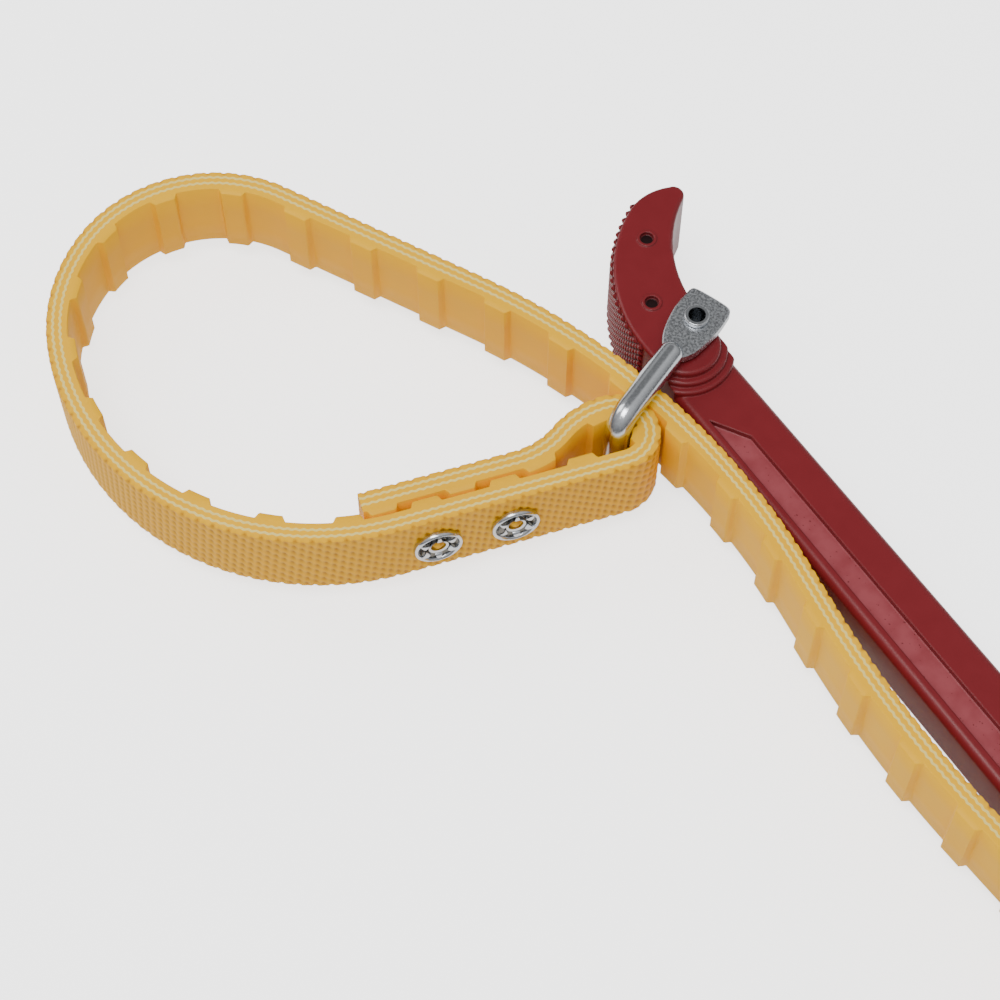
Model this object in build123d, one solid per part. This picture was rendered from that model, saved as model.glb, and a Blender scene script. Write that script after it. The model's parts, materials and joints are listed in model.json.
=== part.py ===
from build123d import *
import math
import os

# Strap wrench for filter housings, in millimetres, +Z up.
# Origin: on the pivot rivet's axis, at mid-height. +X runs along the arm towards its end.
# The strap stands on edge: its width is along Z.

os.makedirs("parts", exist_ok=True)

# ---------------------------------------------------------------- driving dimensions
STRAP_WIDTH = 22.0
BASE_THICKNESS = 5.6
TOOTH_HEIGHT = 1.6
TOOTH_PITCH = 19.8
TOOTH_FOOT = 8.0
TOOTH_CREST = 6.0
TOOTH_ROOT_SINK = 1.2
PLY_THICKNESS = 0.5
PLY_OFFSET = 0.9

ROD_DIAMETER = 6.5
SHACKLE_REACH = 36.6
SHACKLE_ANGLE = -68.0
ROD_HEIGHT = 14.6
ROD_BEND = 6.0
ROD_START = 19.0

TAB_BOTTOM = 12.85
TAB_THICKNESS = 2.8
TAB_WIDTH = 12.4
TAB_BACK = 7.4
TAB_SHOULDER = 5.5
TAB_NECK_WIDTH = 8.0
TAB_NECK = 12.0

RIVET_RADIUS = 2.7
RIVET_BORE = 2.2
RIVET_RIM_RADIUS = 3.15
RIVET_RIM_HEIGHT = 1.4
RUNNING_CLEARANCE = 0.05
RIM_GAP = 0.1

HEAD_HALF_HEIGHT = 11.8
BOSS_HALF_HEIGHT = 12.65
BOSS_RADIUS = 5.4
ARM_HALF_HEIGHT = 7.0
ARM_END = 262.0
HEAD_BACK_RADIUS = 41.5
HEAD_BACK_CENTRE = (-2.5, 27.2)
HEAD_FRONT_RADIUS = 37.0
HEAD_FRONT_CENTRE = (-3.0, 41.0)
HANG_HOLE_RADIUS = 4.5
HANG_HOLE_CENTRE = (249.0, -5.3)
CHANNEL_DEPTH = 1.5
STEP_RADII = (11.0, 12.8)
STEP_HALF_HEIGHTS = (9.9, 8.4)
ARM_END_RADIUS = 10.4
ARM_END_TOP = 5.2
BACK_FOOT = (HEAD_BACK_CENTRE[0], HEAD_BACK_CENTRE[1] - HEAD_BACK_RADIUS)
FRONT_FOOT = (HEAD_FRONT_CENTRE[0], HEAD_FRONT_CENTRE[1] - HEAD_FRONT_RADIUS)
NECK_CENTRE = (2.5, (BACK_FOOT[1] + FRONT_FOOT[1]) / 2)
DIMPLE_CENTRES = ((-28.9, 5.7), (-12.1, -4.8))
DIMPLE_RING_RADIUS = 2.6
DIMPLE_RADIUS = 1.8
DIMPLE_RISE = 0.25
DIMPLE_DEPTH = 1.0

EYELET_RADIUS = 2.6
EYELET_BORE = 1.9
EYELET_FLANGE_RADIUS = 4.2
EYELET_FLANGE_THICKNESS = 0.8
EYELET_CLENCH_RADIUS = 3.9
EYELET_CLENCH_THICKNESS = 0.7
WASHER_RADIUS = 6.2
WASHER_THICKNESS = 0.8
WASHER_RIM = 0.9

HALF_BASE = BASE_THICKNESS / 2
LOOP_RADIUS = 8.2
LAYER_HEADING = 73.6
FOLD_STRAIGHT = 39.5
SWAN_RADIUS = 22.0
SWAN_TURN = 36.1
FRONT_STRAIGHT = 58.0

# The strap's mid-line, from the folded end to the tail's end. A run is (length, 0), an arc is
# (radius, turn in degrees), with a turn to the left positive.
FOLD_PATH = [(FOLD_STRAIGHT, 0), (SWAN_RADIUS, SWAN_TURN), (SWAN_RADIUS, -SWAN_TURN), (LOOP_RADIUS, -180)]
RING_PATH = [(FRONT_STRAIGHT, 0), (67.5, -97.2), (47.0, -40.0), (35.9, -89.2), (58.1, 0)]
TAIL_PATH = [(184.0, -35.4), (14.0, 0), (284.0, 11.6), (42.0, 0), (300.0, -3.4), (26.0, 0)]
HINGE_FROM_TAIL_START = 77.4
FLEX_LENGTH = 6.0
FIRST_TOOTH_FROM_LOOP = 10.7
EYELETS_FROM_LOOP = (29.6, 49.4)


# ---------------------------------------------------------------- the strap's path
def unit(degrees):
    return Vector(math.cos(math.radians(degrees)), math.sin(math.radians(degrees)))


def run_length(run):
    size, turn = run
    return size if turn == 0 else size * math.radians(abs(turn))


def path_length(path):
    return sum(run_length(run) for run in path)


def advance(point, heading, run):
    """The point and heading at the end of one run."""
    size, turn = run
    if turn == 0:
        return point + unit(heading) * size, heading
    side = math.copysign(1, turn)
    centre = point + unit(heading + 90) * size * side
    return centre - unit(heading + turn + 90) * size * side, heading + turn


def runs_between(path, start, heading, first, last):
    """The runs, each with its start point and heading, of the path between two lengths along it."""
    pieces = []
    point = start
    travelled = 0.0
    for size, turn in path:
        length = run_length((size, turn))
        low = max(first, travelled) - travelled
        high = min(last, travelled + length) - travelled
        if high - low > 1e-6:
            before = (low, 0) if turn == 0 else (size, turn * low / length)
            here = (high - low, 0) if turn == 0 else (size, turn * (high - low) / length)
            piece_point, piece_heading = advance(point, heading, before) if low > 0 else (point, heading)
            pieces.append((piece_point, piece_heading, here))
        point, heading = advance(point, heading, (size, turn))
        travelled += length
    return pieces


def beside(point, heading, offset):
    """A point off the mid-line; positive is the outer, knurled side, on the left of the heading."""
    return point + unit(heading + 90) * offset


def band(pieces, inner, outer, half_width):
    """A flat band along the pieces, between two offsets, centred on z = 0."""
    edges = []
    for offset in (inner, outer):
        for point, heading, run in pieces:
            end, end_heading = advance(point, heading, run)
            first = beside(point, heading, offset)
            last = beside(end, end_heading, offset)
            if run[1] == 0:
                edges.append(Line(first, last))
            else:
                middle, middle_heading = advance(point, heading, (run[0], run[1] / 2))
                edges.append(ThreePointArc(first, beside(middle, middle_heading, offset), last))
    for point, heading in (pieces[0][:2], advance(*pieces[-1])):
        edges.append(Line(beside(point, heading, inner), beside(point, heading, outer)))
    face = make_face(Wire(edges))
    return extrude(Pos(0, 0, -half_width) * face, half_width * 2, dir=(0, 0, 1))


def spot(length):
    """Point and heading at a length along the whole strap."""
    point, heading, run = runs_between(STRAP_PATH, STRAP_START, LAYER_HEADING, length, length + 0.01)[0]
    return point, heading


def tooth(length):
    """One trapezoid tooth on the inner side, centred at a length along the strap."""
    foot = TOOTH_FOOT / 2
    crest = TOOTH_CREST / 2
    root = -HALF_BASE + TOOTH_ROOT_SINK
    tip = -HALF_BASE - TOOTH_HEIGHT
    profile = [(-foot, root), (-foot, -HALF_BASE), (-crest, tip), (-crest / 3, tip),
               (crest / 3, tip), (crest, tip), (foot, -HALF_BASE), (foot, root)]
    corners = [beside(*spot(length + along), offset) for along, offset in profile]
    face = make_face(Polyline(*corners, close=True))
    return extrude(Pos(0, 0, -STRAP_WIDTH / 2) * face, STRAP_WIDTH, dir=(0, 0, 1))


def layer_band(first, last, inner, outer):
    pieces = runs_between(STRAP_PATH, STRAP_START, LAYER_HEADING, first, last)
    return band(pieces, inner, outer, STRAP_WIDTH / 2)


def rubber(first, last):
    """Rubber between two lengths along the strap, with its teeth."""
    solid = layer_band(first, last, -HALF_BASE, HALF_BASE)
    half_foot = TOOTH_FOOT / 2
    teeth = [tooth(place) for place in TOOTH_PLACES if first + half_foot < place < last - half_foot]
    return solid.fuse(*teeth).solid() if teeth else solid


def ply(first, last, offset):
    return layer_band(first, last, offset - PLY_THICKNESS / 2, offset + PLY_THICKNESS / 2)


BAR_CENTRE = unit(SHACKLE_ANGLE) * SHACKLE_REACH
LAYER_NORMAL = unit(LAYER_HEADING - 90)
STRAP_PATH = FOLD_PATH + RING_PATH + TAIL_PATH
LOOP_START = BAR_CENTRE - LAYER_NORMAL * LOOP_RADIUS
STRAP_START = (LOOP_START - unit(LAYER_HEADING) * (FOLD_STRAIGHT + 2 * SWAN_RADIUS
               * math.sin(math.radians(SWAN_TURN)))
               + LAYER_NORMAL * 2 * SWAN_RADIUS * (1 - math.cos(math.radians(SWAN_TURN))))
LOOP_END = path_length(FOLD_PATH)
STRAP_LENGTH = path_length(STRAP_PATH)
HINGE_LENGTH = path_length(FOLD_PATH + RING_PATH) + HINGE_FROM_TAIL_START
PHASE = (LOOP_END + FIRST_TOOTH_FROM_LOOP) % TOOTH_PITCH
TOOTH_PLACES = [PHASE + TOOTH_PITCH * step for step in range(int(STRAP_LENGTH / TOOTH_PITCH) + 1)]


# ---------------------------------------------------------------- handle
def head_edges():
    """The crescent's edges, from the arm's lower side round the tip to the arm's upper side."""
    back = Vector(*HEAD_BACK_CENTRE)
    front = Vector(*HEAD_FRONT_CENTRE)
    back_top = back + unit(207.5) * HEAD_BACK_RADIUS
    tip_front = front + unit(212) * HEAD_FRONT_RADIUS
    return [
        ThreePointArc(BACK_FOOT, back + unit(236) * HEAD_BACK_RADIUS, back_top),
        ThreePointArc(back_top, (-40.7, 14.6), (-39.4, 20.4)),
        ThreePointArc((-39.4, 20.4), (-37.0, 22.6), tip_front),
        ThreePointArc(tip_front, front + unit(240) * HEAD_FRONT_RADIUS, FRONT_FOOT),
    ]


def handle_outline():
    """Plan outline of the whole casting: crescent head, then the long arm."""
    end_start = (ARM_END - ARM_END_RADIUS, ARM_END_TOP)
    end_finish = (ARM_END - ARM_END_RADIUS, ARM_END_TOP - 2 * ARM_END_RADIUS)
    end_middle = (ARM_END, ARM_END_TOP - ARM_END_RADIUS)
    edges = head_edges() + [
        Line(FRONT_FOOT, end_start),
        ThreePointArc(end_start, end_middle, end_finish),
        Line(end_finish, BACK_FOOT),
    ]
    return make_face(Wire(edges))


def head_outline():
    """Plan outline of the thick head alone, with a round end just past the pivot."""
    x, y = NECK_CENTRE
    radius = (FRONT_FOOT[1] - BACK_FOOT[1]) / 2
    edges = head_edges() + [
        Line(FRONT_FOOT, (x, FRONT_FOOT[1])),
        ThreePointArc((x, FRONT_FOOT[1]), (x + radius, y), (x, BACK_FOOT[1])),
        Line((x, BACK_FOOT[1]), BACK_FOOT),
    ]
    return make_face(Wire(edges))


def slab(face, half_height):
    return extrude(Pos(0, 0, -half_height) * face, 2 * half_height, dir=(0, 0, 1))


def rounded(solid, level, radius):
    """Round the rims of a slab at z = +-level."""
    rims = solid.edges().filter_by_position(Axis.Z, level - 0.01, level + 0.01)
    rims += solid.edges().filter_by_position(Axis.Z, -level - 0.01, -level + 0.01)
    return fillet(rims, radius)


def channel():
    """Shallow channel of the arm, open upwards, with a slanted end near the head."""
    outline = Polyline((22.0, -11.5), (31.5, -5.6), (226.0, -5.0), (232.0, -8.2), (226.0, -12.0), close=True)
    cutter = extrude(Pos(0, 0, ARM_HALF_HEIGHT - CHANNEL_DEPTH) * make_face(outline), 4, dir=(0, 0, 1))
    return cutter


def make_handle():
    outline = handle_outline()
    arm = rounded(slab(outline, ARM_HALF_HEIGHT), ARM_HALF_HEIGHT, 2.2)
    head = rounded(slab(head_outline(), HEAD_HALF_HEIGHT), HEAD_HALF_HEIGHT, 1.0)
    casting = arm + head
    for radius, level in zip(STEP_RADII, STEP_HALF_HEIGHTS):
        step = Pos(*NECK_CENTRE) * rounded(Cylinder(radius, 2 * level), level, 0.8)
        casting += step & slab(outline, level)
    casting += Cylinder(BOSS_RADIUS, 2 * BOSS_HALF_HEIGHT)
    top_channel = channel()
    casting -= top_channel
    casting -= top_channel.mirror(Plane.XY)
    casting -= Pos(*HANG_HOLE_CENTRE) * Cylinder(HANG_HOLE_RADIUS, 40)
    for x, y in DIMPLE_CENTRES:
        ring_top = HEAD_HALF_HEIGHT + DIMPLE_RISE
        casting += Pos(x, y, HEAD_HALF_HEIGHT) * Cylinder(DIMPLE_RING_RADIUS, 2 * DIMPLE_RISE)
        casting -= Pos(x, y, ring_top - DIMPLE_DEPTH / 2) * Cylinder(DIMPLE_RADIUS, DIMPLE_DEPTH)
    casting -= Cylinder(RIVET_RADIUS, 60)
    return casting


# ---------------------------------------------------------------- shackle and pivot
def tab_outline():
    """Fan-shaped tab, along +X from the pivot, before it is turned to the shackle's angle."""
    half = TAB_WIDTH / 2
    neck = TAB_NECK_WIDTH / 2
    edges = [
        ThreePointArc((-TAB_BACK + 1.2, half), (-TAB_BACK, 0), (-TAB_BACK + 1.2, -half)),
        Line((-TAB_BACK + 1.2, -half), (TAB_SHOULDER, -half)),
        Line((TAB_SHOULDER, -half), (TAB_NECK, -neck)),
        Line((TAB_NECK, -neck), (TAB_NECK, neck)),
        Line((TAB_NECK, neck), (TAB_SHOULDER, half)),
        Line((TAB_SHOULDER, half), (-TAB_BACK + 1.2, half)),
    ]
    return make_face(Wire(edges))


def make_shackle():
    hole = Cylinder(RIVET_RADIUS + RUNNING_CLEARANCE, 60)
    tab = extrude(Pos(0, 0, TAB_BOTTOM) * tab_outline(), TAB_THICKNESS, dir=(0, 0, 1))
    middle = TAB_BOTTOM + TAB_THICKNESS / 2
    flat_end = Plane(origin=(TAB_NECK, 0, middle), x_dir=(0, 1, 0), z_dir=(1, 0, 0))
    round_end = Plane(origin=(ROD_START, 0, ROD_HEIGHT), x_dir=(0, 1, 0), z_dir=(1, 0, 0))
    flat_section = flat_end * RectangleRounded(TAB_NECK_WIDTH, TAB_THICKNESS, 1.3)
    round_section = round_end * RectangleRounded(ROD_DIAMETER, ROD_DIAMETER, ROD_DIAMETER / 2 - 0.01)
    forged_neck = loft([flat_section, round_section])
    upper = tab + forged_neck
    arm_end = SHACKLE_REACH - ROD_BEND
    bend_top = ROD_HEIGHT - ROD_BEND
    slant = ROD_BEND * (1 - math.sqrt(0.5))
    route = Wire([
        Line((ROD_START, 0, ROD_HEIGHT), (arm_end, 0, ROD_HEIGHT)),
        ThreePointArc((arm_end, 0, ROD_HEIGHT), (SHACKLE_REACH - slant, 0, ROD_HEIGHT - slant),
                      (SHACKLE_REACH, 0, bend_top)),
        Line((SHACKLE_REACH, 0, bend_top), (SHACKLE_REACH, 0, -bend_top)),
        ThreePointArc((SHACKLE_REACH, 0, -bend_top), (SHACKLE_REACH - slant, 0, slant - ROD_HEIGHT),
                      (arm_end, 0, -ROD_HEIGHT)),
        Line((arm_end, 0, -ROD_HEIGHT), (ROD_START, 0, -ROD_HEIGHT)),
    ])
    rod = sweep(round_end * Circle(ROD_DIAMETER / 2), path=route)
    body = upper + upper.mirror(Plane.XY) + rod - hole
    return Rot(0, 0, SHACKLE_ANGLE) * body


def make_rivet():
    """Hollow rivet with a rolled rim at each end, just clear of the tabs."""
    rim_low = TAB_BOTTOM + TAB_THICKNESS + RIM_GAP
    length = 2 * (rim_low + RIVET_RIM_HEIGHT)
    shank = Cylinder(RIVET_RADIUS, length)
    rim = Pos(0, 0, rim_low + RIVET_RIM_HEIGHT / 2) * Cylinder(RIVET_RIM_RADIUS, RIVET_RIM_HEIGHT)
    rim = fillet(rim.edges(), 0.3)
    rivet = shank + rim + rim.mirror(Plane.XY)
    return rivet - Cylinder(RIVET_BORE, length + 2)


# ---------------------------------------------------------------- eyelets
def eyelet_frame(from_loop):
    """Plane on the front layer's outer face, looking out along the eyelet's axis."""
    point, heading = spot(LOOP_END + from_loop)
    face_point = beside(point, heading, HALF_BASE)
    return Plane(origin=face_point, x_dir=(0, 0, 1), z_dir=unit(heading + 90))


def sandwich_thickness():
    gap_between_midlines = 2 * LOOP_RADIUS - 2 * SWAN_RADIUS * (1 - math.cos(math.radians(SWAN_TURN)))
    return gap_between_midlines + BASE_THICKNESS


def make_eyelet(from_loop):
    depth = sandwich_thickness()
    top = WASHER_THICKNESS
    bottom = -depth - EYELET_FLANGE_THICKNESS
    barrel = Pos(0, 0, (top + bottom) / 2) * Cylinder(EYELET_RADIUS, top - bottom)
    clench_middle = top + EYELET_CLENCH_THICKNESS / 2
    clench = Pos(0, 0, clench_middle) * Cylinder(EYELET_CLENCH_RADIUS, EYELET_CLENCH_THICKNESS)
    flange_middle = bottom + EYELET_FLANGE_THICKNESS / 2
    flange = Pos(0, 0, flange_middle) * Cylinder(EYELET_FLANGE_RADIUS, EYELET_FLANGE_THICKNESS)
    flange = fillet(flange.edges().group_by(Axis.Z)[0], 0.35)
    bore = Cylinder(EYELET_BORE, 4 * depth)
    return eyelet_frame(from_loop) * (barrel + clench + flange - bore)


def make_washer(from_loop):
    """Cup washer: a flat ring with a raised rolled rim."""
    disc = Pos(0, 0, WASHER_THICKNESS / 2) * Cylinder(WASHER_RADIUS, WASHER_THICKNESS)
    rim = Pos(0, 0, WASHER_THICKNESS) * Torus(WASHER_RADIUS - WASHER_RIM, WASHER_RIM * 0.7)
    hole = Cylinder(EYELET_RADIUS, 6)
    below = Pos(0, 0, -2.5) * Box(40, 40, 5)
    return eyelet_frame(from_loop) * (disc + rim - hole - below)


def eyelet_holes():
    return [eyelet_frame(place) * Cylinder(EYELET_RADIUS, 60) for place in EYELETS_FROM_LOOP]


# ---------------------------------------------------------------- all nodes
def make_nodes():
    nodes = {
        "handle_casting": make_handle(),
        "pivot_rivet": make_rivet(),
        "shackle": make_shackle(),
    }
    flex_start = HINGE_LENGTH - FLEX_LENGTH / 2
    flex_end = HINGE_LENGTH + FLEX_LENGTH / 2
    stretches = {"ring": (0, flex_start), "flex": (flex_start, flex_end), "tail": (flex_end, STRAP_LENGTH)}
    for name, (first, last) in stretches.items():
        nodes[f"strap_{name}_rubber"] = rubber(first, last)
        nodes[f"strap_{name}_outer_ply"] = ply(first, last, PLY_OFFSET)
        nodes[f"strap_{name}_inner_ply"] = ply(first, last, -PLY_OFFSET)
    for name in ("rubber", "outer_ply", "inner_ply"):
        node = f"strap_ring_{name}"
        nodes[node] = nodes[node].cut(*eyelet_holes())
    for number, place in enumerate(EYELETS_FROM_LOOP, start=1):
        nodes[f"eyelet_{number}"] = make_eyelet(place)
        nodes[f"eyelet_{number}_washer"] = make_washer(place)
    return nodes


for name, shape in make_nodes().items():
    export_step(shape, f"parts/{name}.step")

hinge_point, hinge_heading = spot(HINGE_LENGTH)
print("strap length", round(STRAP_LENGTH, 1))
print("tail hinge", hinge_point, "bar", BAR_CENTRE, "tail end", spot(STRAP_LENGTH - 0.02)[0])
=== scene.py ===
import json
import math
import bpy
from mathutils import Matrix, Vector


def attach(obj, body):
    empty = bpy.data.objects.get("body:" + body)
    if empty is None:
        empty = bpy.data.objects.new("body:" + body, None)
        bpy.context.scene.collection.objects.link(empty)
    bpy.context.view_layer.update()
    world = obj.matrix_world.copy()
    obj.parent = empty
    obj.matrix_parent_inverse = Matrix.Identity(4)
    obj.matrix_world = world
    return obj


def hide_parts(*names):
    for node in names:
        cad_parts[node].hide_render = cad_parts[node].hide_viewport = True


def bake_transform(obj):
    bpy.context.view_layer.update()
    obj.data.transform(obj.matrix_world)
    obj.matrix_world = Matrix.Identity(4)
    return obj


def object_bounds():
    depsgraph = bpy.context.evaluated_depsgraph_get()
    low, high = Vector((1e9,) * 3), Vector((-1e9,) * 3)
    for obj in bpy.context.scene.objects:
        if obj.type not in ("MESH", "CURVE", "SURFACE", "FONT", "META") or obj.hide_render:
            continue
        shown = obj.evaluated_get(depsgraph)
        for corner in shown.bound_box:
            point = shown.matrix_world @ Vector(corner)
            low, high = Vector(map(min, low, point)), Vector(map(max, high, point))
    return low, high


bl_info = {
    "name": "Strap wrench",
    "version": (1, 0, 0),
    "blender": (4, 5, 0),
    "location": "View3D > Sidebar > Strap wrench",
    "description": "Dresses the packed strap wrench with its rubber strap, knurl, eyelets and finishes",
    "category": "Object",
}

import bmesh
import bpy
from bpy.props import FloatProperty, FloatVectorProperty, IntProperty, PointerProperty
from mathutils import Matrix, Vector

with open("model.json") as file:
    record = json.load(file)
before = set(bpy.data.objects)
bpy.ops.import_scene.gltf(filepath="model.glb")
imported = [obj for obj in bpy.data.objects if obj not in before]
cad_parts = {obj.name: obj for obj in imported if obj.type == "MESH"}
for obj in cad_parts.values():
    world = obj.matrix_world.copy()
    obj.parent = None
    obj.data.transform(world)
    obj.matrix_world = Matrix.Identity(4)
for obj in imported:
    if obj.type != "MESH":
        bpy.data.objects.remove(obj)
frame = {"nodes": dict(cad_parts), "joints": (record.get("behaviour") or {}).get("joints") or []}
CAD_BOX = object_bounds()

MM = 0.001

# ---------------------------------------------------------------- the strap's line, in millimetres
# A run is (length, 0) and an arc is (radius, turn in degrees), a turn to the left positive.
# The line is the middle of the strap's base, from the folded end to the tail's end.
LAYER_HEADING = 73.6
LOOP_RADIUS = 8.2
FOLD_STRAIGHT = 39.5
SWAN_RADIUS = 22.0
SWAN_TURN = 36.1
FOLD_RUNS = [(FOLD_STRAIGHT, 0), (SWAN_RADIUS, SWAN_TURN), (SWAN_RADIUS, -SWAN_TURN), (LOOP_RADIUS, -180)]
RING_RUNS = [(58.0, 0), (67.5, -97.2), (47.0, -40.0), (35.9, -89.2), (58.1, 0)]
TAIL_RUNS = [(184.0, -35.4), (14.0, 0), (284.0, 11.6), (42.0, 0), (300.0, -3.4), (26.0, 0)]
STRAP_RUNS = FOLD_RUNS + RING_RUNS + TAIL_RUNS

TOOTH_PITCH = 19.8
TOOTH_FOOT = 8.0
TOOTH_CREST = 6.0
FIRST_TOOTH_FROM_LOOP = 10.7
EYELETS_FROM_LOOP = (29.6, 49.4)


def joint_place(name):
    """A joint's place in the frame, in metres."""
    return next(Vector(j["pos_m"]) for j in frame["joints"] if j["name"] == name)


BAR = joint_place("strap_on_bar") / MM


def unit(degrees):
    """The level unit vector at an angle from X."""
    return Vector((math.cos(math.radians(degrees)), math.sin(math.radians(degrees)), 0.0))


def run_length(run):
    """The length of a run or an arc."""
    size, turn = run
    return size if turn == 0 else size * math.radians(abs(turn))


def advance(point, heading, run):
    """The point and heading at the end of one run."""
    size, turn = run
    if turn == 0:
        return point + unit(heading) * size, heading
    side = math.copysign(1, turn)
    centre = point + unit(heading + 90) * size * side
    return centre - unit(heading + turn + 90) * size * side, heading + turn


def strap_start():
    """Where the folded end lies, so that the loop closes round the bar."""
    normal = unit(LAYER_HEADING - 90)
    swan = math.radians(SWAN_TURN)
    along = FOLD_STRAIGHT + 2 * SWAN_RADIUS * math.sin(swan)
    across = 2 * SWAN_RADIUS * (1 - math.cos(swan))
    return BAR - normal * LOOP_RADIUS - unit(LAYER_HEADING) * along + normal * across


LOOP_END = sum(run_length(run) for run in FOLD_RUNS)
STRAP_LENGTH = sum(run_length(run) for run in STRAP_RUNS)
TOOTH_PHASE = (LOOP_END + FIRST_TOOTH_FROM_LOOP) % TOOTH_PITCH
TOOTH_PLACES = [TOOTH_PHASE + TOOTH_PITCH * step for step in range(int(STRAP_LENGTH / TOOTH_PITCH) + 1)]


def spot(length):
    """Point and heading at a length along the strap."""
    point = strap_start()
    heading = LAYER_HEADING
    left = max(0.0, min(length, STRAP_LENGTH - 1e-6))
    for size, turn in STRAP_RUNS:
        whole = run_length((size, turn))
        if left <= whole:
            part = (left, 0) if turn == 0 else (size, turn * left / whole)
            return advance(point, heading, part)
        point, heading = advance(point, heading, (size, turn))
        left -= whole
    return point, heading


# ---------------------------------------------------------------- settings a user would change
def linear(hex_colour):
    """sRGB hex to linear red, green and blue."""
    channels = [int(hex_colour[i:i + 2], 16) / 255 for i in (0, 2, 4)]
    return [c / 12.92 if c <= 0.04045 else ((c + 0.055) / 1.055) ** 2.4 for c in channels]


def length_setting(name, description, millimetres):
    """A length property with its default in millimetres."""
    return FloatProperty(name=name, description=description, default=millimetres * MM, unit="LENGTH")


def colour_setting(name, description, hex_colour):
    """A colour property with its default as sRGB hex."""
    return FloatVectorProperty(name=name, description=description, subtype="COLOR", size=3, min=0, max=1,
                               default=linear(hex_colour))


class StrapWrenchStrap(bpy.types.PropertyGroup):
    width: length_setting("Width", "Width of the strap", 22)
    base: length_setting("Base", "Thickness between the teeth", 5.6)
    tooth: length_setting("Tooth", "Height of a tooth", 1.6)
    knurl: length_setting("Knurl", "Depth of the outer knurl", 0.5)
    knurl_pitch: length_setting("Knurl pitch", "Distance between the knurl's long ridges", 3.96)
    ply: length_setting("Ply offset", "Distance of each ply from the middle", 0.9)
    rubber_colour: colour_setting("Rubber", "Colour of the rubber", "FFC000")
    ply_colour: colour_setting("Ply", "Colour of the woven ply", "FFE680")


class StrapWrenchHandle(bpy.types.PropertyGroup):
    paint: colour_setting("Paint", "Colour of the enamel", "7C2026")
    knurl_pitch: length_setting("Knurl pitch", "Distance between the head's knurl points", 2.4)
    knurl_height: length_setting("Knurl height", "Height of the head's knurl points", 0.6)
    knurl_rows: IntProperty(name="Knurl rows", description="Rows over the head's height", default=18, min=1)


class StrapWrenchMetal(bpy.types.PropertyGroup):
    zinc: colour_setting("Zinc", "Colour of the zinc plating", "C9CCD0")
    petals: IntProperty(name="Petals", description="Petals of an eyelet's clenched end", default=6, min=3)


class StrapWrenchStage(bpy.types.PropertyGroup):
    floor: colour_setting("Floor", "Colour of the floor", "F4F4F4")


# ---------------------------------------------------------------- helpers
def add_node(tree, kind, settings=None, inputs=None):
    """Adds a node with its settings and inputs. An input is a value, a socket, or a node's first output."""
    made = tree.nodes.new(kind)
    for name, value in (settings or {}).items():
        setattr(made, name, value)
    for name, value in (inputs or {}).items():
        socket = made.inputs[name]
        if isinstance(value, bpy.types.Node):
            value = value.outputs[0]
        if isinstance(value, bpy.types.NodeSocket):
            tree.links.new(value, socket)
        else:
            socket.default_value = value
    return made


def new_material(name):
    """An empty node material and its tree."""
    material = bpy.data.materials.new(name)
    material.use_nodes = True
    material.node_tree.nodes.clear()
    return material, material.node_tree


def finish_material(tree, shader):
    """Links the shader to the material's output."""
    add_node(tree, "ShaderNodeOutputMaterial", inputs={"Surface": shader.outputs[0]})


def linked(name, data):
    """A new object in the scene from its mesh, light or camera."""
    made = bpy.data.objects.new(name, data)
    bpy.context.scene.collection.objects.link(made)
    return made


def mesh_object(name, verts, faces, materials=()):
    """A mesh object from points in millimetres."""
    mesh = bpy.data.meshes.new(name)
    mesh.from_pydata([Vector(v) * MM for v in verts], [], faces)
    mesh.update()
    for material in materials:
        mesh.materials.append(material)
    return linked(name, mesh)


def smooth(mesh, sharp_from):
    """Shades a mesh smooth, and keeps edges sharp from an angle in degrees."""
    mesh.shade_smooth()
    mesh.set_sharp_from_angle(angle=math.radians(sharp_from))


def ring_faces(rings, around, closed=False):
    """Quads between rings of points, and from the last ring back to the first when closed."""
    faces = []
    for i in range(rings if closed else rings - 1):
        n = (i + 1) % rings
        for j in range(around):
            k = (j + 1) % around
            faces.append((i * around + j, i * around + k, n * around + k, n * around + j))
    return faces


def end_faces(rings, around):
    """A flat face over the first ring and one over the last."""
    return [tuple(range(around)), tuple(range((rings - 1) * around, rings * around))]


def face_out(obj):
    """Turns the faces outwards."""
    shell = bmesh.new()
    shell.from_mesh(obj.data)
    bmesh.ops.recalc_face_normals(shell, faces=shell.faces)
    shell.to_mesh(obj.data)
    shell.free()
    obj.data.update()


def dress(node, material):
    """Gives a CAD node a material."""
    mesh = frame["nodes"][node].data
    mesh.materials.clear()
    mesh.materials.append(material)


# ---------------------------------------------------------------- materials
# The head's two dimples and the height of the channels' floors, in millimetres.
DIMPLES = ((-28.9, 5.7), (-12.1, -4.8))
CHANNEL_FLOOR = 5.5
# Painted colours: the pale reflection on the channels' floors and its darker specks, the shade in the
# dimples, and the shade in the eyelets' cups.
CHANNEL_REFLECTION, CHANNEL_REFLECTION_SPECK, DIMPLE_SHADE, CUP_SHADE_ZINC = "9C4A50", "5A1418", "1C0507", "75736E"


def shaded(colour, *parts):
    """A colour with each channel taken down or up by its part, as RGBA."""
    parts = parts * 3 if len(parts) == 1 else parts
    return [c * part for c, part in zip(colour, parts)] + [1.0]


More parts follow.
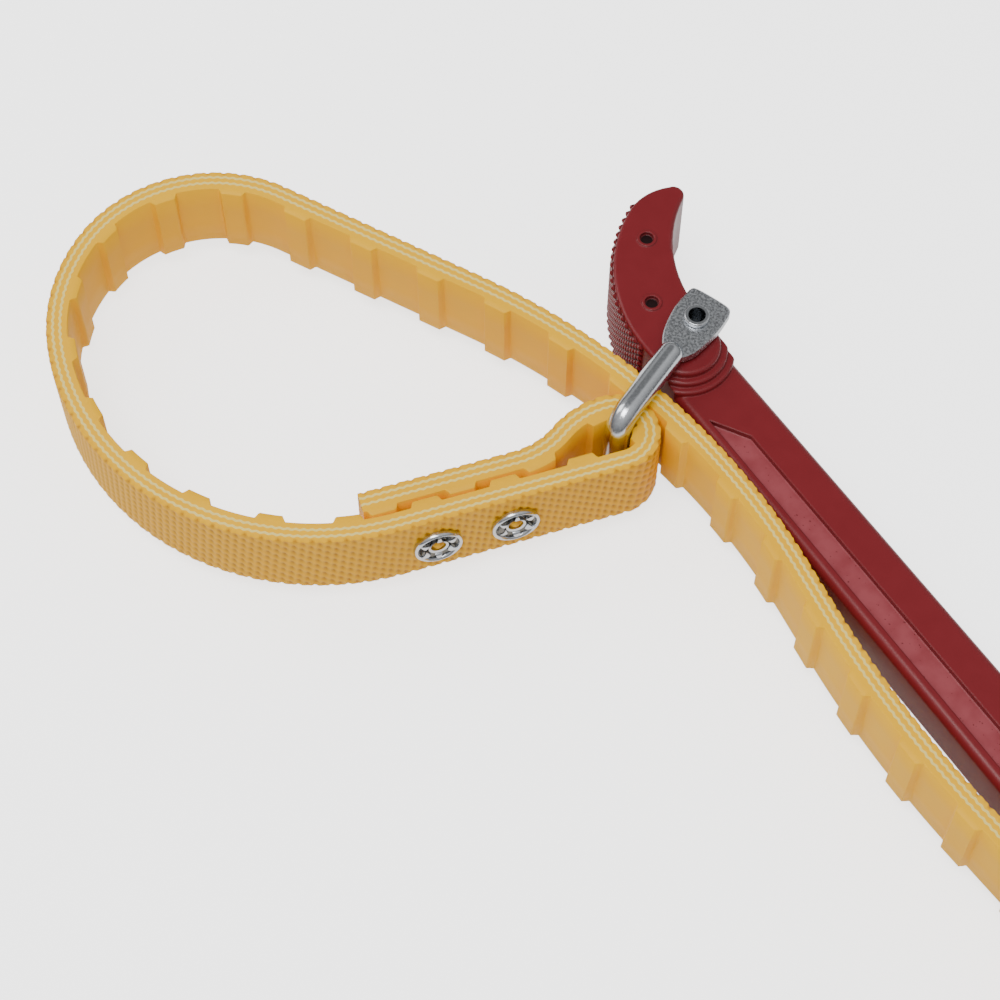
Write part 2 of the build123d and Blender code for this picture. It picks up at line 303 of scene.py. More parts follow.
def red_enamel(colour):
    """Gloss enamel sprayed on a zinc die casting: deep red, soft at the edges, with a painted pale reflection
    on the channels' floors and painted shade in the two dimples.
    """
    material, tree = new_material("red_enamel")
    place = add_node(tree, "ShaderNodeTexCoord").outputs["Object"]
    # Flow marks of the spray coat, about 5 mm across.
    cloud = add_node(tree, "ShaderNodeTexNoise", inputs={
        "Vector": place, "Scale": 1 / (5 * MM), "Detail": 3.0}).outputs["Fac"]
    coat = add_node(tree, "ShaderNodeMix", {"data_type": "RGBA"}, {
        "Factor": cloud, 6: shaded(colour, 0.86), 7: shaded(colour, 1.0)})
    # Painted reflection: the flat floors of the two channels are coloured pale pink in patches, with a few
    # darker specks, standing in for a softbox's reflection.
    height = add_node(tree, "ShaderNodeMath", {"operation": "ABSOLUTE"}, {
        0: add_node(tree, "ShaderNodeSeparateXYZ", inputs={0: place}).outputs["Z"]})
    from_floor = add_node(tree, "ShaderNodeMath", {"operation": "COMPARE"}, {
        0: height, 1: CHANNEL_FLOOR * MM, 2: 0.1 * MM})
    facing = add_node(tree, "ShaderNodeMath", {"operation": "ABSOLUTE"}, {
        0: add_node(tree, "ShaderNodeSeparateXYZ", inputs={
            0: add_node(tree, "ShaderNodeNewGeometry").outputs["True Normal"]}).outputs["Z"]})
    flat = add_node(tree, "ShaderNodeMath", {"operation": "GREATER_THAN"}, {0: facing, 1: 0.9})
    on_floor = add_node(tree, "ShaderNodeMath", {"operation": "MULTIPLY"}, {0: from_floor, 1: flat})
    patchy = add_node(tree, "ShaderNodeMapRange", inputs={
        "Value": cloud, "From Min": 0.3, "From Max": 0.6, "To Min": 0.6, "To Max": 0.95})
    reflection_mask = add_node(tree, "ShaderNodeMath", {"operation": "MULTIPLY"}, {0: on_floor, 1: patchy})
    grit = add_node(tree, "ShaderNodeTexNoise", inputs={
        "Vector": place, "Scale": 1 / (0.8 * MM), "Detail": 1.0})
    specks = add_node(tree, "ShaderNodeMath", {"operation": "LESS_THAN"}, {0: grit, 1: 0.27})
    reflection_colour = add_node(tree, "ShaderNodeMix", {"data_type": "RGBA"}, {
        "Factor": specks, 6: shaded(linear(CHANNEL_REFLECTION), 1.0), 7: shaded(linear(CHANNEL_REFLECTION_SPECK), 1.0)})
    paint = add_node(tree, "ShaderNodeMix", {"data_type": "RGBA"}, {
        "Factor": reflection_mask, 6: coat.outputs[2], 7: reflection_colour.outputs[2]})
    # Painted shade: the two dimples are coloured nearly black, standing in for the shadow in their hollows.
    level = add_node(tree, "ShaderNodeVectorMath", {"operation": "MULTIPLY"}, {0: place, 1: (1.0, 1.0, 0.0)})
    for x, y in DIMPLES:
        gap = add_node(tree, "ShaderNodeVectorMath", {"operation": "DISTANCE"}, {
            0: level, 1: (x * MM, y * MM, 0.0)}).outputs["Value"]
        inside = add_node(tree, "ShaderNodeMapRange", inputs={
            "Value": gap, "From Min": 1.9 * MM, "From Max": 1.4 * MM})
        paint = add_node(tree, "ShaderNodeMix", {"data_type": "RGBA"}, {
            "Factor": inside, 6: paint.outputs[2], 7: shaded(linear(DIMPLE_SHADE), 1.0)})
    shine = add_node(tree, "ShaderNodeMapRange", inputs={"Value": cloud, "To Min": 0.28, "To Max": 0.38})
    # Orange peel, 1.2 mm grain, over casting edges that the paint rounds to about 0.7 mm.
    peel = add_node(tree, "ShaderNodeTexNoise", inputs={
        "Vector": place, "Scale": 1 / (1.2 * MM), "Detail": 2.0})
    rounded = add_node(tree, "ShaderNodeBevel", {"samples": 6}, {"Radius": 0.7 * MM})
    bump = add_node(tree, "ShaderNodeBump", inputs={
        "Strength": 0.10, "Distance": 0.05 * MM, "Height": peel, "Normal": rounded})
    shader = add_node(tree, "ShaderNodeBsdfPrincipled", inputs={
        "Base Color": paint.outputs[2], "Roughness": shine, "Specular IOR Level": 0.36, "Normal": bump})
    finish_material(tree, shader)
    return material


def zinc_plate(name, colour, speckle):
    """Bright zinc plating on steel, pale blue-grey. speckle is 0 on drawn rod and 1 on a sandy flat."""
    material, tree = new_material(name)
    place = add_node(tree, "ShaderNodeTexCoord").outputs["Object"]
    # Plating grain of about 0.6 mm with finer detail.
    grain = add_node(tree, "ShaderNodeTexNoise", inputs={
        "Vector": place, "Scale": 1 / (0.6 * MM), "Detail": 5.0}).outputs["Fac"]
    sharp = add_node(tree, "ShaderNodeMapRange", inputs={"Value": grain, "From Min": 0.38, "From Max": 0.62})
    tone = add_node(tree, "ShaderNodeMix", {"data_type": "RGBA"}, {
        "Factor": sharp, 6: shaded(colour, 0.92 - 0.3 * speckle), 7: shaded(colour, 1.0)})
    rough = add_node(tree, "ShaderNodeMapRange", inputs={
        "Value": sharp, "To Min": 0.14 + 0.12 * speckle, "To Max": 0.24 + 0.22 * speckle})
    bump = add_node(tree, "ShaderNodeBump", inputs={
        "Strength": 0.10 + 0.45 * speckle, "Distance": 0.08 * MM, "Height": grain})
    shader = add_node(tree, "ShaderNodeBsdfPrincipled", inputs={
        "Base Color": tone.outputs[2], "Metallic": 1.0, "Roughness": rough, "Normal": bump})
    finish_material(tree, shader)
    return material


def moulded_rubber(colour):
    """Moulded natural rubber, filled yellow: satin, with painted shade that makes the knurl's grooves darker
    and warmer.
    """
    material, tree = new_material("moulded_yellow_rubber")
    place = add_node(tree, "ShaderNodeTexCoord").outputs["Object"]
    # Painted shade: the lower the knurl's relief, the darker and warmer the colour, standing in for shade in
    # its grooves.
    high = add_node(tree, "ShaderNodeAttribute", {"attribute_name": "relief"}).outputs["Fac"]
    body = add_node(tree, "ShaderNodeMix", {"data_type": "RGBA"}, {
        "Factor": high, 6: shaded(colour, 0.5, 0.34, 0.3), 7: shaded(colour, 1.0)})
    # Bloom on the skin in patches of about 25 mm.
    patch = add_node(tree, "ShaderNodeTexNoise", inputs={
        "Vector": place, "Scale": 1 / (25 * MM), "Detail": 3.0})
    bloom = add_node(tree, "ShaderNodeMapRange", inputs={
        "Value": patch, "From Min": 0.4, "From Max": 0.7, "To Max": 0.35})
    skin = add_node(tree, "ShaderNodeMix", {"data_type": "RGBA"}, {
        "Factor": bloom, 6: body.outputs[2], 7: shaded(colour, 0.86, 0.76, 1.3)})
    # Fine skin grain of about 1.2 mm.
    grain = add_node(tree, "ShaderNodeTexNoise", inputs={
        "Vector": place, "Scale": 1 / (1.2 * MM), "Detail": 4.0})
    bump = add_node(tree, "ShaderNodeBump", inputs={
        "Strength": 0.25, "Distance": 0.06 * MM, "Height": grain})
    shader = add_node(tree, "ShaderNodeBsdfPrincipled", inputs={
        "Base Color": skin.outputs[2], "Roughness": 0.5, "Specular IOR Level": 0.25, "Normal": bump})
    finish_material(tree, shader)
    return material


def woven_ply(colour):
    """Woven cotton ply cut through at the strap's edge: pale, dry and slightly hairy."""
    material, tree = new_material("woven_cotton_ply")
    place = add_node(tree, "ShaderNodeTexCoord").outputs["Object"]
    # Threads of about 0.5 mm.
    thread = add_node(tree, "ShaderNodeTexNoise", inputs={
        "Vector": place, "Scale": 1 / (0.5 * MM), "Detail": 2.0}).outputs["Fac"]
    tone = add_node(tree, "ShaderNodeMix", {"data_type": "RGBA"}, {
        "Factor": thread, 6: shaded(colour, 0.88), 7: shaded(colour, 1.0)})
    bump = add_node(tree, "ShaderNodeBump", inputs={
        "Strength": 0.5, "Distance": 0.1 * MM, "Height": thread})
    shader = add_node(tree, "ShaderNodeBsdfPrincipled", inputs={
        "Base Color": tone.outputs[2], "Roughness": 0.85, "Normal": bump})
    finish_material(tree, shader)
    return material


def painted_board(colour):
    """Matt painted board under the object, brighter to the camera as an overlit backdrop is."""
    material, tree = new_material("matt_white_board")
    path = add_node(tree, "ShaderNodeLightPath")
    seen = add_node(tree, "ShaderNodeMath", {"operation": "MULTIPLY_ADD"}, {
        0: path.outputs["Is Glossy Ray"], 1: 0.25, 2: path.outputs["Is Camera Ray"]})
    glow = add_node(tree, "ShaderNodeMath", {"operation": "MULTIPLY"}, {0: seen, 1: 2.2})
    shader = add_node(tree, "ShaderNodeBsdfPrincipled", inputs={
        "Base Color": shaded(colour, 1.0), "Roughness": 0.9, "Emission Color": (1, 1, 1, 1),
        "Emission Strength": glow})
    finish_material(tree, shader)
    return material


def material_once(name, maker, *arguments):
    """The material of that name, made if it isn't there yet."""
    return bpy.data.materials.get(name) or maker(*arguments)


# ---------------------------------------------------------------- strap meshes
STATION_STEP = 0.42
LEAST_STEP = 0.15
PLY_STEP = 0.24
FACE_ROWS = 34
RIM_DROP = 0.12
EDGE_INSET = 1.4
EDGE_ROUND = 0.25
TOOTH_ROUND = 0.15
RIDGE_SLANT, RIDGE_SHARE = 1.38, 0.8
CROSS_SLANT, CROSS_SHARE = 0.12, 0.85
PLY_WAVE = 0.15
PLY_HALF = 0.32
PLY_PROUD = 0.06
PLUG_RADIUS = 1.9
PLUG_RISE = 1.1


def tooth_rise(length):
    """Height of the tooth at a length along the strap, from 0 to 1."""
    nearest = min(TOOTH_PLACES, key=lambda place: abs(place - length))
    gap = abs(length - nearest)
    if gap >= TOOTH_FOOT / 2 or not TOOTH_FOOT / 2 < nearest < STRAP_LENGTH - TOOTH_FOOT / 2:
        return 0.0
    if gap <= TOOTH_CREST / 2:
        return 1.0
    share = (TOOTH_FOOT / 2 - gap) / ((TOOTH_FOOT - TOOTH_CREST) / 2)
    return share * share * (3 - 2 * share)


def even_places(step):
    """Even lengths along the whole strap, about a step apart."""
    count = int(STRAP_LENGTH / step)
    return [STRAP_LENGTH * i / count for i in range(count + 1)]


def rubber_places():
    """Lengths where the strap's section is drawn: even steps and every corner of a tooth."""
    places = even_places(STATION_STEP)
    for place in TOOTH_PLACES:
        for along in (TOOTH_FOOT / 2, (TOOTH_FOOT + TOOTH_CREST) / 4, TOOTH_CREST / 2):
            places += [place - along, place + along]
    places = sorted(p for p in places if 0 <= p <= STRAP_LENGTH)
    kept = [places[0]]
    for place in places[1:]:
        if place - kept[-1] > LEAST_STEP:
            kept.append(place)
    return kept


def relief(length, height, pitch):
    """Knurl height from 0 in a pit to 1 on a ridge: long slanted ridges and short cross ridges."""
    slanted = 0.5 + 0.5 * math.cos(2 * math.pi * (length - RIDGE_SLANT * height) / pitch)
    upright = 0.5 + 0.5 * math.cos(4 * math.pi * (length + CROSS_SLANT * height) / pitch)
    return 1 - (1 - slanted * RIDGE_SHARE) * (1 - CROSS_SHARE * upright)


def plug(length, height):
    """Rubber squeezed up through an eyelet, from 0 at its wall to 1 at its middle."""
    gap = min(math.hypot(length - LOOP_END - place, height) for place in EYELETS_FROM_LOOP)
    return max(0.0, 1 - (gap / PLUG_RADIUS) ** 2)


def strap_section(length, settings):
    """Section points (offset, height, relief) at a length, once round."""
    half = settings.base / MM / 2
    top = settings.width / MM / 2
    deep = settings.knurl / MM
    pitch = settings.knurl_pitch / MM
    rise = tooth_rise(length) * settings.tooth / MM
    points = []
    for row in range(FACE_ROWS + 1):
        height = -top + 2 * top * row / FACE_ROWS
        high = relief(length, height, pitch)
        rim = RIM_DROP if row in (0, FACE_ROWS) else 0.0
        swell = PLUG_RISE * plug(length, height)
        points.append((half - deep * (1 - high) - rim + swell, height, high))
    edge = [half - EDGE_INSET, 0.0, -half + EDGE_INSET, -half + EDGE_ROUND]
    crest = -half - rise
    points += [(offset, top, 1.0) for offset in edge]
    points += [(crest + TOOTH_ROUND, top, 1.0), (crest, top - TOOTH_ROUND, 1.0)]
    points += [(crest, top / 3, 0.9), (crest, -top / 3, 0.9)]
    points += [(crest, -top + TOOTH_ROUND, 1.0), (crest + TOOTH_ROUND, -top, 1.0)]
    points += [(offset, -top, 1.0) for offset in reversed(edge)]
    return points


def swept(name, places, section, materials, sharp_from):
    """A closed tube of sections along the strap's line, with a flat cap at each end."""
    verts = []
    levels = []
    for length in places:
        point, heading = spot(length)
        side = unit(heading + 90)
        for offset, height, high in section(length):
            at = point + side * offset
            verts.append((at.x, at.y, height))
            levels.append(high)
    ring = len(verts) // len(places)
    faces = ring_faces(len(places), ring)
    for i in (0, len(places) - 1):
        centre = len(verts)
        loop = [Vector(verts[i * ring + j]) for j in range(ring)]
        verts.append(sum(loop, Vector()) / ring)
        levels.append(1.0)
        faces += [(i * ring + j, i * ring + (j + 1) % ring, centre) for j in range(ring)]
    made = mesh_object(name, verts, faces, materials)
    face_out(made)
    attribute = made.data.attributes.new("relief", "FLOAT", "POINT")
    attribute.data.foreach_set("value", levels)
    smooth(made.data, sharp_from)
    return made


def bend_at_tail(piece):
    """Bakes the piece's placement into its mesh; the strap's turns are already in its line."""
    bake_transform(piece)


class STRAPWRENCH_OT_strap(bpy.types.Operator):
    """Makes the rubber strap with its teeth and knurl, and the two plies that show at its edges"""
    bl_idname = "strapwrench.strap"
    bl_label = "Strap"

    def execute(self, context):
        settings = context.scene.strapwrench_strap
        rubber = material_once("moulded_yellow_rubber", moulded_rubber, settings.rubber_colour)
        ply = material_once("woven_cotton_ply", woven_ply, settings.ply_colour)
        strap = swept("strap_rubber", rubber_places(), lambda length: strap_section(length, settings),
                      [rubber], 50)
        bend_at_tail(strap)
        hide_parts("strap_ring_rubber", "strap_flex_rubber", "strap_tail_rubber")
        top = settings.width / MM / 2
        pitch = settings.knurl_pitch / MM
        for name, side in (("outer_ply", 1), ("inner_ply", -1)):
            middle = side * settings.ply / MM

            def section(length):
                wave = PLY_WAVE * math.sin(4 * math.pi * length / pitch + side)
                low, high = middle + wave - PLY_HALF, middle + wave + PLY_HALF
                edge = top + PLY_PROUD
                return [(low, -edge, 1.0), (high, -edge, 1.0), (high, edge, 1.0), (low, edge, 1.0)]

            band = swept(f"strap_{name}", even_places(PLY_STEP), section, [ply], 40)
            bend_at_tail(band)
            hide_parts(*[f"strap_{part}_{name}" for part in ("ring", "flex", "tail")])
        return {"FINISHED"}


# ---------------------------------------------------------------- geometry node helpers
def new_tree(name, sockets):
    """A geometry node tree with named inputs: (name, type, default)."""
    tree = bpy.data.node_groups.new(name, "GeometryNodeTree")
    tree.interface.new_socket("Geometry", in_out="OUTPUT", socket_type="NodeSocketGeometry")
    for label, kind, default in sockets:
        socket = tree.interface.new_socket(label, in_out="INPUT", socket_type=kind)
        if default is not None:
            socket.default_value = default
    return tree, add_node(tree, "NodeGroupInput")


def finish_tree(tree, geometry, material):
    """Ends a tree with real geometry in its material."""
    real = add_node(tree, "GeometryNodeRealizeInstances", inputs={"Geometry": geometry})
    painted = add_node(tree, "GeometryNodeSetMaterial", inputs={"Geometry": real, "Material": material})
    add_node(tree, "NodeGroupOutput", inputs={"Geometry": painted})


def grow(name, tree, values, material):
    """Runs a tree on an empty mesh object and keeps the result as a plain mesh."""
    holder = linked(name, bpy.data.meshes.new(name))
    modifier = holder.modifiers.new("grow", "NODES")
    modifier.node_group = tree
    identifiers = {item.name: item.identifier for item in tree.interface.items_tree if item.in_out == "INPUT"}
    for label, value in values.items():
        modifier[identifiers[label]] = value
    evaluated = holder.evaluated_get(bpy.context.evaluated_depsgraph_get())
    mesh = bpy.data.meshes.new_from_object(evaluated)
    holder.modifiers.remove(modifier)
    holder.data = mesh
    mesh.name = name
    if not mesh.materials:
        mesh.materials.append(material)
    return holder


# ---------------------------------------------------------------- handle
HEAD_BACK_CENTRE = Vector((-2.5, 27.2, 0.0))
HEAD_BACK_RADIUS = 41.5
KNURL_FROM = 204.0
KNURL_TO = 268.0
# A knurl point's base and top as shares of the pitch, and its depth as a share of its height.
POINT_BASE, POINT_TOP, POINT_DEPTH = 0.54, 0.16, 1.3


def knurl_point_tree(material):
    """Blunt four-sided points in staggered rows, bent round the head's back."""
    sockets = [("Pitch", "NodeSocketFloat", 2.4 * MM), ("Height", "NodeSocketFloat", 0.6 * MM),
               ("Radius", "NodeSocketFloat", HEAD_BACK_RADIUS * MM), ("Columns", "NodeSocketInt", 22),
               ("Rows", "NodeSocketInt", 18), ("First angle", "NodeSocketFloat", math.radians(KNURL_FROM)),
               ("Centre", "NodeSocketVector", HEAD_BACK_CENTRE * MM)]
    tree, given = new_tree("head_knurl", sockets)
    pitch = given.outputs["Pitch"]
    base = add_node(tree, "ShaderNodeMath", {"operation": "MULTIPLY"}, {0: pitch, 1: POINT_BASE})
    crest = add_node(tree, "ShaderNodeMath", {"operation": "MULTIPLY"}, {0: pitch, 1: POINT_TOP})
    depth = add_node(tree, "ShaderNodeMath", {"operation": "MULTIPLY"}, {
        0: given.outputs["Height"], 1: POINT_DEPTH})
    point = add_node(tree, "GeometryNodeMeshCone", {"fill_type": "NGON"}, {
        "Vertices": 4, "Side Segments": 1, "Fill Segments": 1, "Radius Bottom": base, "Radius Top": crest,
        "Depth": depth})
    row_step = add_node(tree, "ShaderNodeMath", {"operation": "MULTIPLY"}, {0: pitch, 1: 0.5})
    column_gaps = add_node(tree, "ShaderNodeMath", {"operation": "SUBTRACT"}, {
        0: given.outputs["Columns"], 1: 1.0})
    row_gaps = add_node(tree, "ShaderNodeMath", {"operation": "SUBTRACT"}, {
        0: given.outputs["Rows"], 1: 1.0})
    wide = add_node(tree, "ShaderNodeMath", {"operation": "MULTIPLY"}, {0: column_gaps, 1: pitch})
    tall = add_node(tree, "ShaderNodeMath", {"operation": "MULTIPLY"}, {0: row_gaps, 1: row_step})
    grid = add_node(tree, "GeometryNodeMeshGrid", inputs={
        "Size X": wide, "Size Y": tall, "Vertices X": given.outputs["Columns"],
        "Vertices Y": given.outputs["Rows"]})
    here = add_node(tree, "ShaderNodeSeparateXYZ", inputs={0: add_node(tree, "GeometryNodeInputPosition")})
    along = add_node(tree, "ShaderNodeMath", {"operation": "MULTIPLY_ADD"}, {
        0: wide, 1: 0.5, 2: here.outputs["X"]})
    above = add_node(tree, "ShaderNodeMath", {"operation": "MULTIPLY_ADD"}, {
        0: tall, 1: 0.5, 2: here.outputs["Y"]})
    row = add_node(tree, "ShaderNodeMath", {"operation": "ROUND"}, {
        0: add_node(tree, "ShaderNodeMath", {"operation": "DIVIDE"}, {0: above, 1: row_step})})
    odd = add_node(tree, "ShaderNodeMath", {"operation": "MODULO"}, {0: row, 1: 2.0})
    staggered = add_node(tree, "ShaderNodeMath", {"operation": "MULTIPLY_ADD"}, {
        0: odd, 1: row_step, 2: along})
    turn = add_node(tree, "ShaderNodeMath", {"operation": "DIVIDE"}, {
        0: staggered, 1: given.outputs["Radius"]})
    angle = add_node(tree, "ShaderNodeMath", {"operation": "ADD"}, {
        0: turn, 1: given.outputs["First angle"]})
    outward = add_node(tree, "ShaderNodeCombineXYZ", inputs={
        "X": add_node(tree, "ShaderNodeMath", {"operation": "COSINE"}, {0: angle}),
        "Y": add_node(tree, "ShaderNodeMath", {"operation": "SINE"}, {0: angle})})
    reach = add_node(tree, "ShaderNodeVectorMath", {"operation": "SCALE"}, {
        0: outward, "Scale": given.outputs["Radius"]})
    level = add_node(tree, "ShaderNodeCombineXYZ", inputs={"Z": here.outputs["Y"]})
    bent = add_node(tree, "ShaderNodeVectorMath", {"operation": "ADD"}, {0: reach, 1: level})
    place = add_node(tree, "ShaderNodeVectorMath", {"operation": "ADD"}, {
        0: bent, 1: given.outputs["Centre"]})
    kept = add_node(tree, "GeometryNodeStoreNamedAttribute", {
        "data_type": "FLOAT_VECTOR", "domain": "POINT"}, {
        "Geometry": grid, "Name": "outward", "Value": outward})
    moved = add_node(tree, "GeometryNodeSetPosition", inputs={"Geometry": kept, "Position": place})
    read = add_node(tree, "GeometryNodeInputNamedAttribute", {"data_type": "FLOAT_VECTOR"}, {
        "Name": "outward"})
    aimed = add_node(tree, "FunctionNodeAxesToRotation", {"primary_axis": "Z", "secondary_axis": "X"}, {
        "Primary Axis": read.outputs["Attribute"], "Secondary Axis": (0.0, 0.0, 1.0)})
    points = add_node(tree, "GeometryNodeMeshToPoints", inputs={"Mesh": moved})
    spread = add_node(tree, "GeometryNodeInstanceOnPoints", inputs={
        "Points": points, "Instance": point, "Rotation": aimed})
    finish_tree(tree, spread, material)
    return tree


class STRAPWRENCH_OT_handle(bpy.types.Operator):
    """Paints the casting and gives the back of its head a knurl"""
    bl_idname = "strapwrench.handle"
    bl_label = "Handle"

    def execute(self, context):
        settings = context.scene.strapwrench_handle
        paint = material_once("red_enamel", red_enamel, settings.paint)
        dress("handle_casting", paint)
        pitch = settings.knurl_pitch
        sweep = math.radians(KNURL_TO - KNURL_FROM) * HEAD_BACK_RADIUS * MM
        knurl = grow("head_knurl", knurl_point_tree(paint), {
            "Pitch": pitch, "Height": settings.knurl_height, "Rows": settings.knurl_rows,
            "Columns": int(sweep / pitch) + 1}, paint)
        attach(knurl, "handle")
        return {"FINISHED"}


# ---------------------------------------------------------------- shackle
# The shackle's own axes: X from the pivot towards the bar, Y to its left, Z up, in millimetres.
SHACKLE_HEADING = math.degrees(math.atan2(BAR.y, BAR.x))
SHACKLE_REACH = BAR.length
ROD_RADIUS = 3.25
ROD_HEIGHT = 14.6
ROD_BEND = 6.0
NOSE_START = 9.0
NOSE_LENGTH = 3.0
NOSE_END = NOSE_START + NOSE_LENGTH
ROUND_FROM = 19.0
ROD_POINTS = 32
NOSE_SUNK = 0.1
# The tab's levels from below, each with how far its outline is drawn in there.
TAB_LEVELS = ((12.85, 0.3), (13.15, 0.0), (15.3, 0.0), (15.65, 0.4))
TAB_HOLE = 2.75
TAB_OUTLINE = (
    (-7.8, -4.7), (-7.0, -5.9), (-5.0, -6.2), (0.5, -6.35), (7.0, -5.1), (11.0, -3.2), (12.6, -1.5),
    (12.6, 1.2), (11.9, 2.7), (11.3, 3.6), (8.8, 4.95), (5.9, 5.6), (0.3, 6.35), (-4.3, 6.25),
    (-6.4, 5.9), (-7.4, 4.5), (-7.8, 0.2),
)
TAB_POINTS = 144


def from_shackle(point):
    """A point from the shackle's own axes to the frame."""
    x, y, z = point
    return unit(SHACKLE_HEADING) * x + unit(SHACKLE_HEADING + 90) * y + Vector((0, 0, z))


def tab_edge():
    """The tab's outline as points at even angles round the pivot."""
    dense = []
    count = len(TAB_OUTLINE)
    for i in range(count):
        a, b, c, d = (Vector(TAB_OUTLINE[(i + k) % count]) for k in (-1, 0, 1, 2))
        for step in range(12):
            t = step / 12
            bow = (2 * b + (c - a) * t + (2 * a - 5 * b + 4 * c - d) * t * t
                   + (3 * b - a - 3 * c + d) * t ** 3) / 2
            dense.append((math.atan2(bow.y, bow.x), bow.length))
    dense.sort()
    dense = [(dense[-1][0] - 2 * math.pi, dense[-1][1])] + dense + [(dense[0][0] + 2 * math.pi, dense[0][1])]
    edge = []
    at = 0
    for i in range(TAB_POINTS):
        angle = -math.pi + 2 * math.pi * (i + 0.5) / TAB_POINTS
        while dense[at + 1][0] < angle:
            at += 1
        (low, near), (high, far) = dense[at], dense[at + 1]
        edge.append((angle, near + (far - near) * (angle - low) / (high - low)))
    return edge


def tab_mesh(up):
    """A flat tab with soft edges and the pivot's hole. up is 1 for the upper tab, -1 for the lower."""
    edge = tab_edge()
    loops = [[(TAB_HOLE, angle, TAB_LEVELS[0][0]) for angle, _ in edge]]
    loops += [[(far - inset, angle, level) for angle, far in edge] for level, inset in TAB_LEVELS]
    loops += [[(TAB_HOLE, angle, TAB_LEVELS[-1][0]) for angle, _ in edge]]
    verts = [from_shackle((r * math.cos(a), r * math.sin(a), up * z)) for loop in loops for r, a, z in loop]
    return verts, ring_faces(len(loops), TAB_POINTS, closed=True)


def rod_line():
    """The rod's middle line as (x, z, tilt, radius), from the upper nose down to the bar and back."""
    half = []
    for step in range(1, 11):
        angle = math.radians(90 * step / 10)
        reach = NOSE_START + NOSE_LENGTH * (1 - math.cos(angle))
        half.append((reach, ROD_HEIGHT, 0.0, ROD_RADIUS * math.sin(angle)))
    bend_start = SHACKLE_REACH - ROD_BEND
    for step in range(1, 6):
        half.append((NOSE_END + (bend_start - NOSE_END) * step / 6, ROD_HEIGHT, 0.0, ROD_RADIUS))
    for step in range(13):
        tilt = math.radians(90 * step / 12)
        half.append((bend_start + ROD_BEND * math.sin(tilt), ROD_HEIGHT - ROD_BEND * (1 - math.cos(tilt)),
                     tilt, ROD_RADIUS))
    return half + [(x, -z, math.pi - tilt, radius) for x, z, tilt, radius in reversed(half)]


def underside(x):
    """Lowest height of the forging at x: just inside the tab at the nose, then down to the round rod."""
    share = min(max((x - NOSE_END) / (ROUND_FROM - NOSE_END), 0), 1)
    high = TAB_LEVELS[0][0] + NOSE_SUNK
    return high + (ROD_HEIGHT - ROD_RADIUS - high) * share


def rod_mesh():
    """The rod, round from ROUND_FROM on and flattened underneath where it passes over the casting."""
    verts = []
    line = rod_line()
    for x, z, tilt, radius in line:
        for j in range(ROD_POINTS):
            turn = 2 * math.pi * j / ROD_POINTS
            out = radius * math.cos(turn)
            level = z + out * math.cos(tilt)
            if x < ROUND_FROM:
                level = math.copysign(max(abs(level), underside(x)), z)
            verts.append(from_shackle((x + out * math.sin(tilt), radius * math.sin(turn), level)))
    return verts, ring_faces(len(line), ROD_POINTS) + end_faces(len(line), ROD_POINTS)


def joined(name, parts, materials, sharp_from):
    """One object from several (verts, faces) parts, part by part in the given materials."""
    verts, faces, indices = [], [], []
    for index, (part_verts, part_faces) in enumerate(parts):
        start = len(verts)
        verts += part_verts
        faces += [tuple(start + corner for corner in face) for face in part_faces]
        indices += [index] * len(part_faces)
    made = mesh_object(name, verts, faces, materials)
    made.data.polygons.foreach_set("material_index", indices)
    face_out(made)
    smooth(made.data, sharp_from)
    return made


class STRAPWRENCH_OT_shackle(bpy.types.Operator):
    """Makes the forged shackle and plates the pivot rivet"""
    bl_idname = "strapwrench.shackle"
    bl_label = "Shackle"

    def execute(self, context):
        settings = context.scene.strapwrench_metal
        rod_zinc = material_once("bright_zinc_plate", zinc_plate, "bright_zinc_plate", settings.zinc, 0.0)
        tab_zinc = material_once("sandy_zinc_plate", zinc_plate, "sandy_zinc_plate", settings.zinc, 0.75)
        parts = [rod_mesh(), tab_mesh(1), tab_mesh(-1)]
        shackle = joined("shackle_forging", parts, [rod_zinc, tab_zinc, tab_zinc], 35)
        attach(shackle, "shackle")
        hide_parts("shackle")
        dress("pivot_rivet", rod_zinc)
        return {"FINISHED"}


# ---------------------------------------------------------------- eyelets
# An eyelet's own axes: Z outwards from the strap's outer face, in millimetres.
RIM_PROFILE = ((5.0, 0.0), (5.0, 0.45), (5.12, 0.95), (5.35, 1.32), (5.65, 1.45), (5.95, 1.3), (6.15, 0.95),
               (6.2, 0.5), (6.2, 0.0))
CUP_PROFILE = ((2.7, 0.0), (2.7, 0.2), (4.2, 0.25), (5.05, 0.5), (5.05, 0.0))
BARREL_PROFILE = ((1.95, 0.7), (1.95, -14.3), (3.9, -14.3), (4.2, -14.0), (4.2, -13.6), (2.55, -13.6),
                  (2.55, 0.9))
# A petal's line as (reach, height, half width).
PETAL_LINE = ((2.05, 0.3, 0.95), (2.15, 0.9, 1.0), (2.45, 1.35, 0.95), (3.0, 1.55, 0.78), (3.7, 1.5, 0.55),
              (4.35, 1.2, 0.36), (4.65, 0.8, 0.2))
PETAL_THICKNESS = 0.4
PETAL_CROWN = 0.12
OUTER_FACE = 2.8
LATHE_POINTS = 48
ROUND_SHARP = 40


def lathe(profile, place):
    """A closed profile of (radius, height) turned once round an eyelet's axis."""
    verts = []
    for radius, height in profile:
        for j in range(LATHE_POINTS):
            turn = 2 * math.pi * j / LATHE_POINTS
            verts.append(place @ Vector((radius * math.cos(turn), radius * math.sin(turn), height)))
    return verts, ring_faces(len(profile), LATHE_POINTS, closed=True)


def eyelet_place(from_loop):
    """Matrix from an eyelet's axes to the frame, in millimetres."""
    point, heading = spot(LOOP_END + from_loop)
    outward = unit(heading + 90)
    up = Vector((0, 0, 1))
    origin = point + outward * OUTER_FACE
    turn = Matrix((up, outward.cross(up), outward)).transposed()
    return Matrix.Translation(origin) @ turn.to_4x4()


